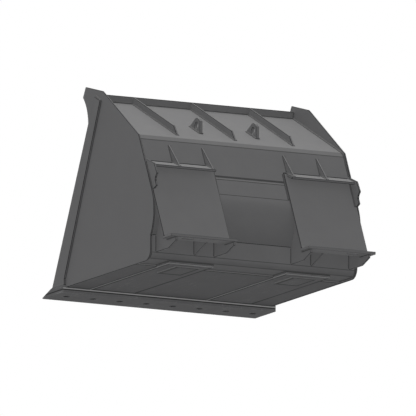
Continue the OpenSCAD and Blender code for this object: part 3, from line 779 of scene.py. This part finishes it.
def bead_surface(points, first, second, leg, seed):
    """Bead over a corner. Across: the straight chord from leg*first to leg*second, bulged by
    sin(2*angle). Along: crescents, a sine of run/pitch whose phase lags by sin(2*angle) so that
    they curve, slow swelling, a lump at each restart, both ends tapered as a quarter circle."""
    run, (point, first, second) = even_steps(points, first, second, STEP)
    angle = np.linspace(0.0, math.pi / 2, 6)[None, :]
    along = run[:, None]
    hump = np.sin(2 * angle)
    crescent = np.sin(2 * math.pi * (along / (leg * PITCH) + LAG * hump) + seed)
    swell = sum(depth * np.sin(along * rate + shift * seed) for depth, rate, shift in SWELLS)
    since = (along + RESTART_SHIFT * (seed % 3)) % RESTART_EVERY - RESTART_AT
    restart = np.exp(-(since / RESTART_LONG) ** 2)
    end = np.minimum(along, run[-1] - along) / (END_LONG * leg)
    taper = np.sqrt(np.clip(1.0 - (1.0 - np.clip(end, 0.0, 1.0)) ** 2, TIP, 1.0))
    size = leg * (1.0 + swell + LUMP * restart) * taper
    bulge = (1.0 + BULGE * hump + RIPPLE * crescent * hump) / (np.cos(angle) + np.sin(angle))
    wave = 1.0 + WAVE * crescent
    reach = (size * bulge * wave)[:, :, None]
    outward = (np.cos(angle)[:, :, None] * first[:, None, :]
               + np.sin(angle)[:, :, None] * second[:, None, :])
    face = point[:, None, :] + reach * outward
    root = point - ROOT_DEEP * (first + second)
    return np.concatenate([face, root[:, None, :]], 1)


# %% Beads into one mesh
def skin_of_ring(rows, cols, offset):
    """Quads of a closed strip of rings, as indices, and one face over each end."""
    row, col = np.meshgrid(np.arange(rows - 1), np.arange(cols), indexing="ij")
    beside = (col + 1) % cols
    this_ring, next_ring = row * cols, (row + 1) * cols
    quads = np.stack([this_ring + col, this_ring + beside,
                      next_ring + beside, next_ring + col], -1)
    ends = [list(range(cols)), list(range((rows - 1) * cols, rows * cols))]
    return quads.reshape(-1, 4) + offset, [[offset + corner for corner in end] for end in ends]


def lay_beads(name, joints, finish=bead_paint):
    """Builds every bead of one kind of joint as one piece, with outward normals."""
    rings, faces, offset = [], [], 0
    for number, (points, first, second, leg) in enumerate(joints):
        ring = bead_surface(points, first, second, leg / 1000.0, 1.7 * number + len(name))
        quads, ends = skin_of_ring(ring.shape[0], ring.shape[1], offset)
        rings.append(ring.reshape(-1, 3))
        faces += quads.tolist() + ends
        offset += ring.shape[0] * ring.shape[1]
    closed_piece(name, np.concatenate(rings), faces, finish)
    metres = sum(float(np.linalg.norm(np.diff(np.asarray(joint[0]), axis=0), axis=1).sum())
                 for joint in joints)
    print(name, ":", len(joints), "beads,", round(metres, 2), "m,", len(faces), "faces")


# %% [markdown]
# ### Where the sheets meet the side plates
# The sheets are inset 10 mm, so a bead lies in the corner round the outside, except where the
# coupler plates cover it, and one more inside the bowl. The line is the sheet's own outline:
# heel, rolled belly, leaning back, bend and slope. It is sampled once, with its outward
# normals, and used on both sides. From here on a joint is its line, the two ways along the
# plates that it joins, and its leg in millimetres.


# %% Outline of the sheets with its normals
def arc(centre, radius, start, stop, count):
    """Points and normals of an arc: centre plus radius times the unit vector of each angle."""
    angle = np.radians(np.linspace(start, stop, count))
    unit = np.stack([np.cos(angle), np.sin(angle)], 1)
    return np.asarray(centre) + radius * unit, unit


def sheet_outline(deep, heel_deep):
    """The outline moved deep millimetres into the sheets, as points and outward normals."""
    heel_c = np.array([HEEL_REAR + HEEL_R, FLOOR_TOP + HEEL_R])
    bend_c = CORNER - BEND_RUN * UP_BACK - BEND_R * OUT_BACK
    heel_arc = arc(heel_c, HEEL_R - heel_deep, 270.0, 180.0, 12)
    belly_arc = arc(BELLY, BELLY_R - deep, 211.0, 155.0, 50)
    bend_arc = arc(bend_c, BEND_R - deep, 155.0, 116.0, 14)
    low = (np.array([[heel_c[0], FLOOR_TOP + heel_deep]]), np.array([[0.0, -1.0]]))
    end = (np.array([on_slope(SLOPE_LEN - 2.0, -deep)]), np.array([OUT_SLOPE]))
    parts = [low, heel_arc, belly_arc, bend_arc, end]
    points, normals = zip(*parts)
    return np.concatenate(points), np.concatenate(normals)


outer, outer_n = sheet_outline(0.0, 0.0)
inner, inner_n = sheet_outline(SHEET_T, HEEL_T)
COUPLER_FROM, COUPLER_TO = 300.0, 534.0  # where coupler plates cover the outer joint
BEND_FROM = 560.0
below = outer[:, 1] < COUPLER_FROM
tail = outer[:, 1] > BEND_FROM
upper = np.concatenate([[on_sheet(COUPLER_TO)], outer[tail]])
upper_n = np.concatenate([[OUT_BACK], outer_n[tail]])
shell_joints = []
for side in (1, -1):
    x = side * SHEET_HALF
    inward = -side * ACROSS
    shell_joints += [
        (lift(x, outer[below]), inward, heading(outer_n[below]), 6.0),
        (lift(x, upper), inward, heading(upper_n), 6.0),
        (lift(x, [[FLOOR_REAR, FLOOR_TOP], [37.0, FLOOR_TOP]]), inward, DOWN, 6.0),
        (lift(x, inner), inward, heading(-inner_n), 6.0),
        (lift(x, [[232.0, FLOOR_TOP], [1052.0, FLOOR_TOP]]), inward, UP, 6.0)]
lay_beads("weld_beads_shell", shell_joints)

# %% Cross seams of the bowl: heel flap on the floor, lap behind the upper sheet, top lip
SEAM_END, GUSSET_X, EYE_X = SHEET_HALF - 2.0, 332.0, 162.0
FLAP_END, LAP_WIDTH, BESIDE_GUSSET = 230.0, 40.0, 6.0
lap = on_sheet(SEAM_H) - SHEET_T * OUT_BACK + LAP_WIDTH * UP_BACK
cross_joints = [
    (across(-SEAM_END, SEAM_END, [FLAP_END, FLOOR_TOP]), FORWARD, UP, 6.0),
    (across(-SEAM_END, SEAM_END, lap), heading(UP_BACK), heading(-OUT_BACK), 4.5)]
starts = [-SEAM_END] + [x + BESIDE_GUSSET for x in (-GUSSET_X, 0.0, GUSSET_X)]
stops = [x - BESIDE_GUSSET for x in (-GUSSET_X, 0.0, GUSSET_X)] + [SEAM_END]
for x0, x1 in zip(starts, stops):
    cross_joints.append((across(x0, x1, LIP_FOOT), heading(-UP_SLOPE), heading(LIP_UP), 6.0))
for side in (1, -1):
    lip_end = np.array([LIP_FOOT + 5.0 * LIP_UP, LIP_FOOT + 34.0 * LIP_UP])
    cross_joints.append((lift(side * SHEET_HALF, lip_end), -side * ACROSS, heading(-LIP_OUT),
                         5.0))
lay_beads("weld_beads_cross_seams", cross_joints)

# %% [markdown]
# ### Gussets, eyes and coupler
# Gussets are thin plates set on edge, welded along both faces. Each face gives the same joint
# line, pushed to the plate's surface; the second direction is simply the normal of what the
# gusset stands on.


# %% Beads on both faces of a plate set on edge
def both_faces(x, thick, line, normal, leg):
    """The joint line once on each face of a plate that stands at x, in its own thickness."""
    line = np.asarray(line, float)
    return [(lift(x + side * thick / 2, line), side * ACROSS, heading(normal), leg)
            for side in (1, -1)]


EYE_END = 10.0
top_joints = []
for x in (-GUSSET_X, 0.0, GUSSET_X):
    top_joints += both_faces(x, RIB_T, [on_slope(66.0), on_slope(600.0)], OUT_SLOPE, 5.0)
for side in (1, -1):
    x = side * EYE_X
    top_joints += both_faces(x, EYE_T, [on_slope(141.0), on_slope(269.0)], OUT_SLOPE, 6.0)
    for foot, way in ((143.0, -UP_SLOPE), (267.0, UP_SLOPE)):
        top_joints.append((across(x - EYE_END, x + EYE_END, on_slope(foot)), heading(way),
                           heading(OUT_SLOPE), 6.0))
lay_beads("weld_beads_top", top_joints)

# %% Beads of the coupler plates, flanges and guide ears
FALL = math.radians(22.0)  # how far the hook flanges fall to the rear
HOOK_DIR = np.array([-math.cos(FALL), -math.sin(FALL)])
HOOK_OVER = np.array([-math.sin(FALL), math.cos(FALL)])
PIN_BACK = on_coupler(103.1)  # where the pin flanges' upper side meets the coupler plates
PIN_LOW = 89.1  # underside of the pin flanges
HOOK_RIBS, MIDDLE_RIB = (171.0, 362.0), 259.0  # gussets, as distances inward
PIN_RIBS = (41.0, MIDDLE_RIB, 373.0)
BETWEEN_HOOK_RIBS = ((20, 164), (178, 355), (369, 390))


def inside_of(side, x_in):
    """A distance inward from the outer face of a side plate, as x on that side."""
    return side * (HALF - x_in)


coupler_joints, hook_joints = [], []
for side in (1, -1):
    inner_edge = [on_sheet(372.0), on_sheet(518.0)]
    coupler_joints.append((lift(inside_of(side, 391.0), inner_edge), -side * ACROSS,
                           heading(OUT_BACK), 7.0))
    for near, far in BETWEEN_HOOK_RIBS:
        hook_joints.append((across(inside_of(side, near), inside_of(side, far), on_sheet(HOOK_H)),
                            heading(UP_BACK), heading(OUT_BACK), 7.0))
    coupler_joints.append((across(inside_of(side, 20), inside_of(side, 389), PIN_BACK),
                           heading(UP_BACK), REARWARD, 7.0))
    guide = [HOOK_ROOT - 20.0 * UP_BACK, HOOK_ROOT - 172.0 * UP_BACK]
    for x_in, way, leg in ((18.0, -side, 6.0), (8.0, side, 5.0)):
        coupler_joints.append((lift(inside_of(side, x_in), guide), way * ACROSS,
                               heading(OUT_BACK), leg))
    for x_in in HOOK_RIBS:
        x = inside_of(side, x_in)
        coupler_joints += both_faces(x, RIB_T, [on_sheet(529.0), on_sheet(622.0)], OUT_BACK, 4.0)
        coupler_joints += both_faces(x, RIB_T, [HOOK_ROOT, HOOK_ROOT + 66.0 * HOOK_DIR],
                                     HOOK_OVER, 4.0)
    for x_in in PIN_RIBS:
        x = inside_of(side, x_in)
        rear = -112.0 if x_in == MIDDLE_RIB else -205.0
        flange_line = [[-108.0, PIN_LOW], [rear, PIN_LOW]]
        heel_line = [[HEEL_REAR, 46.0], [HEEL_REAR, 126.0]]
        coupler_joints += both_faces(x, RIB_T, flange_line, [0.0, -1.0], 4.0)
        coupler_joints += both_faces(x, RIB_T, heel_line, [-1.0, 0.0], 4.0)
lay_beads("weld_beads_coupler", coupler_joints)
lay_beads("weld_beads_hooks", hook_joints, edge_paint)

# %% [markdown]
# ### Cutters, edge and wear parts
# The side cutters are welded all round on the outside of the side plates. The wear plates and
# heel pads are welded along their outline under the floor, where they can be ground off and
# renewed. The beads of the pads lie lowest and carry the plates' own paint.

# %% Beads around the side cutters
FRONT = math.radians(26.5)
FRONT_OUT = np.array([math.cos(FRONT), math.sin(FRONT)])
EDGE_REAR, CUTTER_SET, CUTTER_T = 921.0, 20.0, 10.0


def front_line(z):
    """Front line of the side cutter at a height, 20 mm behind the side plate's own edge."""
    fallen_back = (z - FLOOR_TOP) * math.tan(FRONT)
    return np.array([1075.5 - fallen_back - CUTTER_SET / math.cos(FRONT), z])


cutter_top = front_line(932.0)
cutter_rear = cutter_top - 70.0 * FRONT_OUT
knee = np.array([EDGE_REAR, 46.0])
rear_way = (knee - cutter_rear) / np.linalg.norm(knee - cutter_rear)
rear_out = np.array([rear_way[1], -rear_way[0]])
edge_joints = []
for side in (1, -1):
    x = side * HALF
    out = side * ACROSS
    edge_joints += [
        (lift(x, [front_line(16.0), cutter_top]), heading(FRONT_OUT), out, 6.0),
        (lift(x, [cutter_top, cutter_rear]), heading([-FRONT_OUT[1], FRONT_OUT[0]]), out, 6.0),
        (lift(x, [cutter_rear, knee]), heading(rear_out), out, 4.5),
        (lift(x, [[EDGE_REAR, 44.0], [EDGE_REAR, 16.0]]), REARWARD, out, 4.5),
        (lift(x + side * CUTTER_T, [[923.0, FLOOR_TOP], [1050.0, FLOOR_TOP]]), out, UP, 5.0)]
lay_beads("weld_beads_cutters", edge_joints)

# %% Beads under the floor
WEAR_SIDES, PAD_SIDES = (132.0, 388.0), (193.5, 326.5)
PAD_REAR, PAD_FRONT = 88.0, 293.0
pad_joints = []
under_joints = [(across(-592, 592, [EDGE_REAR, FLOOR_LOW]), REARWARD, DOWN, 3.5)]
for side in (1, -1):
    x0, x1 = (inside_of(side, x_in) for x_in in WEAR_SIDES)
    for x, way in ((x0, side), (x1, -side)):
        beside_floor = lift(x, [[184.0, FLOOR_LOW], [908.0, FLOOR_LOW]])
        beside_flap = lift(x, [[52.0, FLOOR_TOP], [180.0, FLOOR_TOP]])
        under_joints.append((beside_floor, way * ACROSS, DOWN, 3.0))
        under_joints.append((beside_flap, way * ACROSS, DOWN, 6.0))
    under_joints.append((across(x0, x1, [909.0, FLOOR_LOW]), FORWARD, DOWN, 5.0))
    under_joints.append((across(x0, x1, [50.0, FLOOR_TOP]), REARWARD, DOWN, 4.5))
    x0, x1 = (inside_of(side, x_in) for x_in in PAD_SIDES)
    for x, way in ((x0, side), (x1, -side)):
        pad_side = lift(x, [[PAD_REAR, WEAR_LOW], [PAD_FRONT, WEAR_LOW]])
        pad_joints.append((pad_side, way * ACROSS, DOWN, 3.0))
    for f, way in ((PAD_REAR, REARWARD), (PAD_FRONT, FORWARD)):
        pad_joints.append((across(x0, x1, [f, WEAR_LOW]), way, DOWN, 3.0))
lay_beads("weld_beads_under", under_joints)
lay_beads("weld_beads_pads", pad_joints, plate_paint)
